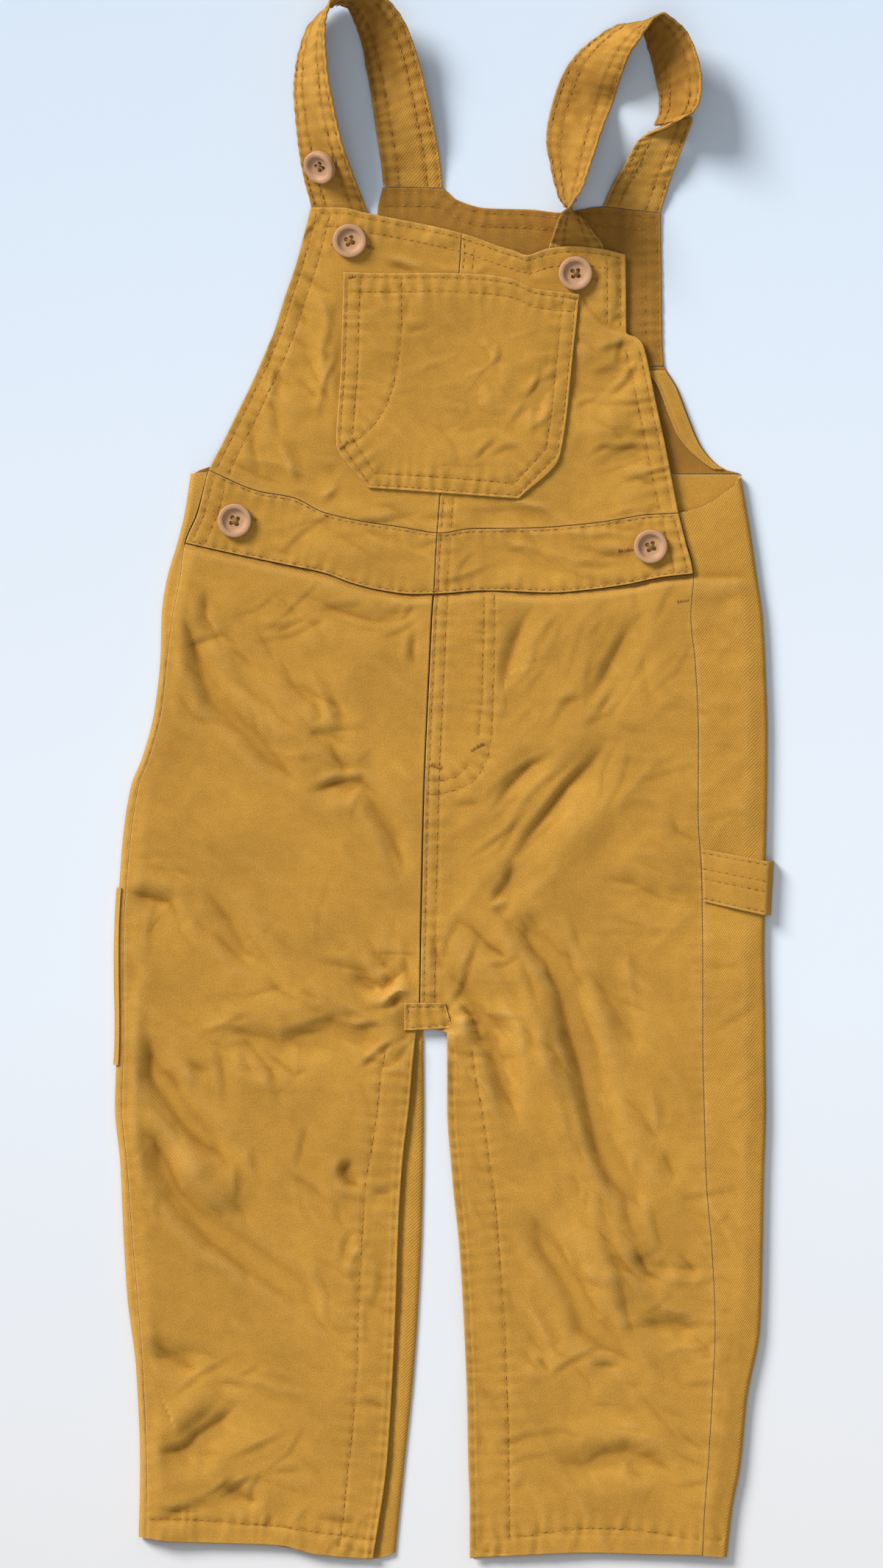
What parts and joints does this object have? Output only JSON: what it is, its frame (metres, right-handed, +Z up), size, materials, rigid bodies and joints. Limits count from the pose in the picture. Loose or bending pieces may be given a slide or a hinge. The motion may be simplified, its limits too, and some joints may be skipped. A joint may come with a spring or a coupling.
{
  "type": "kids dungarees",
  "caption": "Toddler's dungarees in plain cotton twill, laid flat: bib with patch pocket, looped shoulder straps, buttoned waist and straight legs.",
  "frame": {"origin": "under the middle of the bounding box, on the surface that the garment lies on", "axes": "+Y up the garment from the hems to the straps, +X to the right as seen from the front, +Z up off the surface"},
  "size_m": [0.35, 0.8314, 0.0346],
  "materials": {
    "twill": "washed cotton twill with a soft peached face",
    "twill_inside": "inner side of the washed cotton twill",
    "button": "matt moulded resin with a raised rim",
    "thread": "spun polyester sewing thread"
  },
  "bodies": {
    "root": {"front_leg_left": "twill", "front_leg_right": "twill", "back_leg_left": "twill", "back_leg_right": "twill", "waistband_left": "twill", "waistband_right": "twill", "bib_front_left": "twill", "bib_front_right": "twill", "bib_pocket": "twill", "back_bib": "twill_inside", "back_yoke": "twill_inside", "armhole_band_right": "twill_inside", "crotch_tab": "twill", "hammer_loop": "twill", "tool_pocket": "twill", "strap_left": "twill", "strap_right": "twill", "button_bib_left": "button", "button_bib_right": "button", "button_waist_left": "button", "button_waist_right": "button", "button_strap_left": "button", "button_strap_right": "button"}
  },
  "joints": []
}
